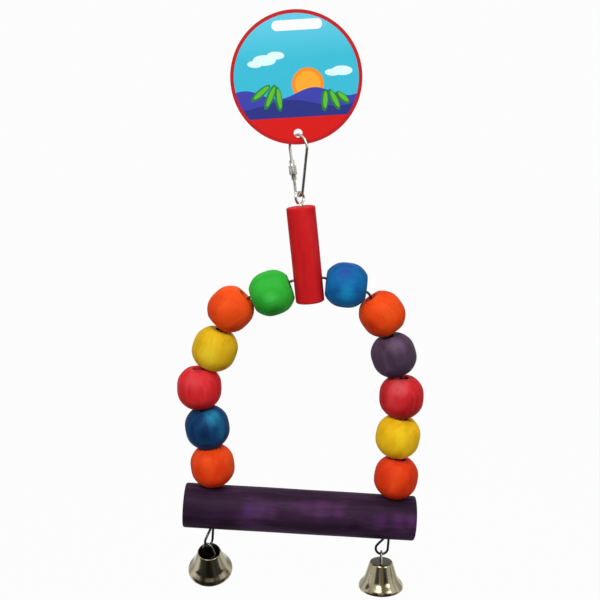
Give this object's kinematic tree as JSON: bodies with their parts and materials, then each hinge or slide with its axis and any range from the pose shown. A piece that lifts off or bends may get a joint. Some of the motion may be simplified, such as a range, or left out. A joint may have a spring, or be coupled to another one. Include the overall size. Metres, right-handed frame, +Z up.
{
  "type": "hanging bird swing",
  "caption": "Hanging bird swing: a wooden perch on a beaded wire arch with bells, hung by a top dowel, a quick link and a slotted card.",
  "frame": {"origin": "middle of the upper edge of the card's hang slot, on the card's middle plane, where a peg carries the swing", "axes": "+Z up, +X to the right along the perch, seen from -Y with the card's printed face to the viewer"},
  "size_m": [0.1391, 0.0304, 0.3268],
  "materials": {
    "printed_card": "gloss coated board, printed in flat colours",
    "plated_link": "bright zinc plate",
    "plated_eye": "bright zinc plate",
    "arch_steel": "drawn steel wire, dull",
    "bell_nickel": "bright nickel plate, warm",
    "hanger_steel": "bare steel wire",
    "wood_red": "satin dyed wood with open grain",
    "wood_orange": "satin dyed wood with open grain",
    "wood_yellow": "satin dyed wood with open grain",
    "wood_green": "satin dyed wood with open grain",
    "wood_blue": "satin dyed wood with open grain",
    "wood_purple": "satin dyed wood with open grain",
    "wood_violet_black": "satin dyed wood with open grain"
  },
  "bodies": {
    "card": {"hang_card": "printed_card"},
    "link": {"quick_link": "plated_link"},
    "nut": {"sleeve_nut": "plated_link"},
    "dowel": {"top_dowel": "wood_red", "screw_eye": "plated_eye"},
    "arch": {"arch_wire": "arch_steel", "perch": "wood_violet_black"},
    "bead_left_1": {"bead_left_1": "wood_green"},
    "bead_left_2": {"bead_left_2": "wood_orange"},
    "bead_left_3": {"bead_left_3": "wood_yellow"},
    "bead_left_4": {"bead_left_4": "wood_red"},
    "bead_left_5": {"bead_left_5": "wood_blue"},
    "bead_left_6": {"bead_left_6": "wood_orange"},
    "bead_right_1": {"bead_right_1": "wood_blue"},
    "bead_right_2": {"bead_right_2": "wood_orange"},
    "bead_right_3": {"bead_right_3": "wood_purple"},
    "bead_right_4": {"bead_right_4": "wood_red"},
    "bead_right_5": {"bead_right_5": "wood_yellow"},
    "bead_right_6": {"bead_right_6": "wood_orange"},
    "left_bell": {"left_bell": "bell_nickel", "left_bell_hanger": "hanger_steel"},
    "left_clapper": {"left_clapper": "hanger_steel"},
    "right_bell": {"right_bell": "bell_nickel", "right_bell_hanger": "hanger_steel"},
    "right_clapper": {"right_clapper": "hanger_steel"}
  },
  "joints": [
    {"name": "link_swing", "type": "hinge", "parent": "card", "child": "link", "pos_m": [0.00082, 0, -0.05972], "axis": [0.707, -0.7071, 0.0123], "range_deg": [-35, 35]},
    {"name": "nut_slide", "type": "slide", "parent": "link", "child": "nut", "axis": [-0.132, 0.1148, 0.9846], "range_m": [0, 0.006]},
    {"name": "dowel_swing", "type": "hinge", "parent": "link", "child": "dowel", "pos_m": [0.00139, 0, -0.09041], "axis": [0.7035, 0.7071, 0.0715], "range_deg": [-50, 50]},
    {"name": "arch_swing", "type": "hinge", "parent": "dowel", "child": "arch", "pos_m": [0.00624, 0, -0.13817], "axis": [0.9949, 0, 0.1011], "range_deg": [-60, 60]},
    {"name": "bead_left_1_spin", "type": "hinge", "parent": "arch", "child": "bead_left_1", "pos_m": [-0.0138, 0, -0.14593], "axis": [-0.9397, 0, -0.342], "continuous": true},
    {"name": "bead_left_2_spin", "type": "hinge", "parent": "arch", "child": "bead_left_2", "pos_m": [-0.03658, 0, -0.155], "axis": [-0.7071, 0, -0.7071], "continuous": true},
    {"name": "bead_left_3_spin", "type": "hinge", "parent": "arch", "child": "bead_left_3", "pos_m": [-0.04571, 0, -0.1776], "axis": [-0.3665, 0, -0.9304], "continuous": true},
    {"name": "bead_left_4_spin", "type": "hinge", "parent": "arch", "child": "bead_left_4", "pos_m": [-0.05483, 0, -0.20016], "axis": [0, 0, -1], "continuous": true},
    {"name": "bead_left_5_spin", "type": "hinge", "parent": "arch", "child": "bead_left_5", "pos_m": [-0.05077, 0, -0.2234], "axis": [0.165, 0, -0.9863], "continuous": true},
    {"name": "bead_left_6_spin", "type": "hinge", "parent": "arch", "child": "bead_left_6", "pos_m": [-0.04818, 0, -0.24621], "axis": [0.1219, 0, -0.9925], "continuous": true},
    {"name": "bead_right_1_spin", "type": "hinge", "parent": "arch", "child": "bead_right_1", "pos_m": [0.02727, 0, -0.14146], "axis": [0.9936, 0, -0.1132], "continuous": true},
    {"name": "bead_right_2_spin", "type": "hinge", "parent": "arch", "child": "bead_right_2", "pos_m": [0.04736, 0, -0.15773], "axis": [0.5807, 0, -0.8141], "continuous": true},
    {"name": "bead_right_3_spin", "type": "hinge", "parent": "arch", "child": "bead_right_3", "pos_m": [0.05419, 0, -0.18124], "axis": [0.3256, 0, -0.9455], "continuous": true},
    {"name": "bead_right_4_spin", "type": "hinge", "parent": "arch", "child": "bead_right_4", "pos_m": [0.05901, 0, -0.20535], "axis": [-0.0262, 0, -0.9997], "continuous": true},
    {"name": "bead_right_5_spin", "type": "hinge", "parent": "arch", "child": "bead_right_5", "pos_m": [0.05749, 0, -0.22892], "axis": [-0.1994, 0, -0.9799], "continuous": true},
    {"name": "bead_right_6_spin", "type": "hinge", "parent": "arch", "child": "bead_right_6", "pos_m": [0.05689, 0, -0.25332], "axis": [-0.165, 0, -0.9863], "continuous": true},
    {"name": "left_bell_swing", "type": "hinge", "parent": "arch", "child": "left_bell", "pos_m": [-0.0511, -0.00294, -0.29458], "axis": [-0.5436, -0.8387, 0.0344], "range_deg": [-55, 55]},
    {"name": "left_clapper_swing", "type": "hinge", "parent": "left_bell", "child": "left_clapper", "pos_m": [-0.0511, 0.00015, -0.3012], "axis": [0.8387, -0.4936, -0.2302], "range_deg": [-14, 56]},
    {"name": "right_bell_swing", "type": "hinge", "parent": "arch", "child": "right_bell", "pos_m": [0.04923, 0, -0.30097], "axis": [-0.998, 0, 0.0631], "range_deg": [-55, 55]},
    {"name": "right_clapper_swing", "type": "hinge", "parent": "right_bell", "child": "right_clapper", "pos_m": [0.04923, 0, -0.30827], "axis": [0, -1, 0], "range_deg": [-35, 35]}
  ]
}
